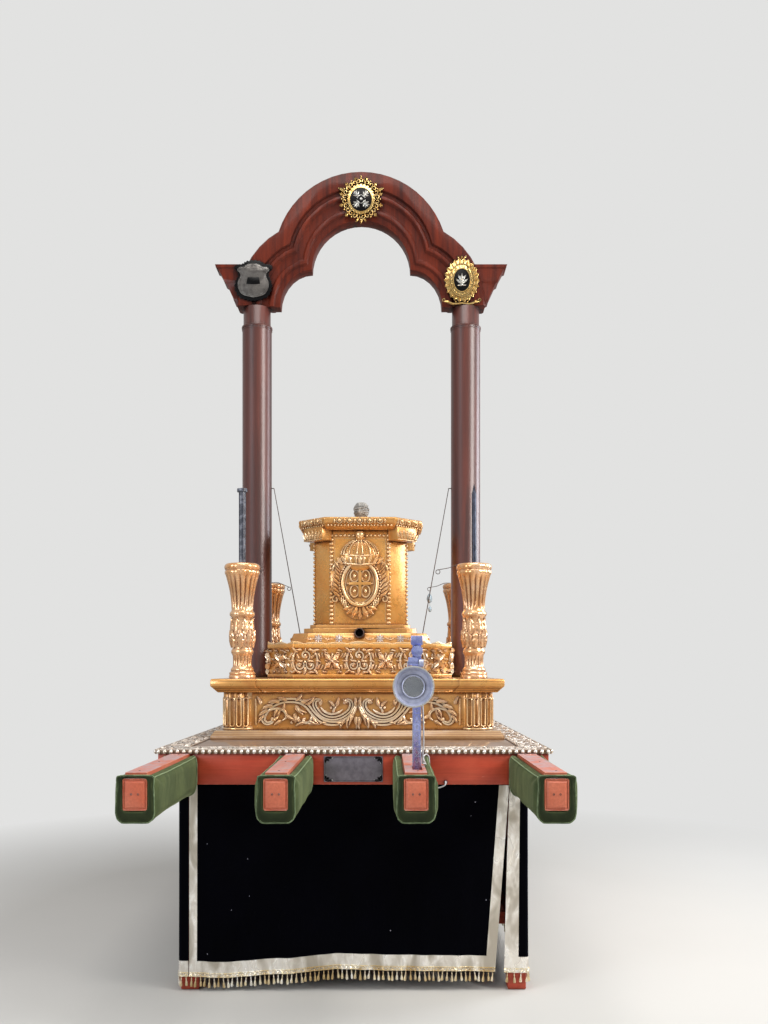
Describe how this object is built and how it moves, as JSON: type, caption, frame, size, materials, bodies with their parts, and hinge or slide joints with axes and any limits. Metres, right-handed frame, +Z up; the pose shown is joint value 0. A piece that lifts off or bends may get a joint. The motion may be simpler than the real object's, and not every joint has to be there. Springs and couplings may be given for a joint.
{
  "type": "processional palanquin",
  "caption": "Gilded wooden litter with padded carrying poles, a stepped pedestal, fluted balusters and a trefoil arch on columns, standing on legs behind a velvet skirt",
  "frame": {"origin": "on the floor under the middle of the deck and of the poles", "axes": "+X to the right across the poles, -Y to the front where the lamp stands, +Z up"},
  "size_m": [1.94, 4.6, 4.7418],
  "materials": {
    "terracotta_paint": "satin brick-red paint, worn at the edges",
    "green_velvet": "olive green velvet over padding",
    "black_velvet": "blue-black velvet with pale metallic trim",
    "warm_gilding": "burnished gilding over red ground on carved wood",
    "dusty_deck_metal": "embossed sheet, dull and dusty",
    "mahogany": "dark red-brown wood, glossy varnish",
    "bright_gold": "bright gold plated casting",
    "dark_plate": "blank darkened metal",
    "black_lacquer": "black lacquer",
    "grey_steel": "bluish grey bare steel",
    "grey_tape": "wrapped grey tape",
    "dark_rod": "dark painted steel",
    "dark_wire": "dark annealed wire",
    "lamp_glass": "clear lens",
    "white_cable": "white sheath"
  },
  "bodies": {
    "litter": {"arch": "mahogany", "baluster_front_left": "warm_gilding", "baluster_front_right": "warm_gilding", "baluster_rear_left": "warm_gilding", "baluster_rear_right": "warm_gilding", "cable_clip": "grey_steel", "cable_grommet": "dark_rod", "cartouche": "warm_gilding", "column_left": "mahogany", "column_right": "mahogany", "deck_board": "dusty_deck_metal", "deck_border": "dusty_deck_metal", "end_rail_front": "terracotta_paint", "end_rail_rear": "terracotta_paint", "lamp_bar": "grey_steel", "lamp_cable": "white_cable", "leg_front_left": "terracotta_paint", "leg_front_right": "terracotta_paint", "leg_rear_left": "terracotta_paint", "leg_rear_right": "terracotta_paint", "leg_tie_frame": "terracotta_paint", "medallion_right": "bright_gold", "medallion_top": "bright_gold", "pad_front_1": "green_velvet", "pad_front_2": "green_velvet", "pad_front_3": "green_velvet", "pad_front_4": "green_velvet", "pad_rear_1": "green_velvet", "pad_rear_2": "green_velvet", "pad_rear_3": "green_velvet", "pad_rear_4": "green_velvet", "pedestal_base": "warm_gilding", "pedestal_cornice": "warm_gilding", "pedestal_shaft": "warm_gilding", "plinth_base": "warm_gilding", "plinth_case": "warm_gilding", "plinth_slab": "warm_gilding", "pole_1": "terracotta_paint", "pole_2": "terracotta_paint", "pole_3": "terracotta_paint", "pole_4": "terracotta_paint", "rail_plate": "dark_plate", "rod_left": "grey_tape", "rod_right": "dark_rod", "shield_plaque": "black_lacquer", "side_rail_left": "terracotta_paint", "side_rail_right": "terracotta_paint", "skirt_front": "black_velvet", "skirt_left": "black_velvet", "skirt_rear": "black_velvet", "skirt_right": "black_velvet", "socket_pipe": "grey_steel", "stay_left": "dark_wire", "stay_right": "dark_wire", "tier_box": "warm_gilding", "top_knob": "grey_tape"},
    "lamp_link": {"lamp_link": "grey_steel"},
    "lamp_head": {"lamp_bowl": "grey_steel", "lamp_lens": "lamp_glass"}
  },
  "joints": [
    {"name": "lamp_swing", "type": "hinge", "parent": "litter", "child": "lamp_link", "pos_m": [0.2925, -2.0516, 1.6583], "axis": [0, -1, 0], "range_deg": [-30, 30]},
    {"name": "lamp_tilt", "type": "hinge", "parent": "lamp_link", "child": "lamp_head", "pos_m": [0.2765, -2.0746, 1.6083], "axis": [-1, 0, 0], "range_deg": [0, 40]}
  ]
}
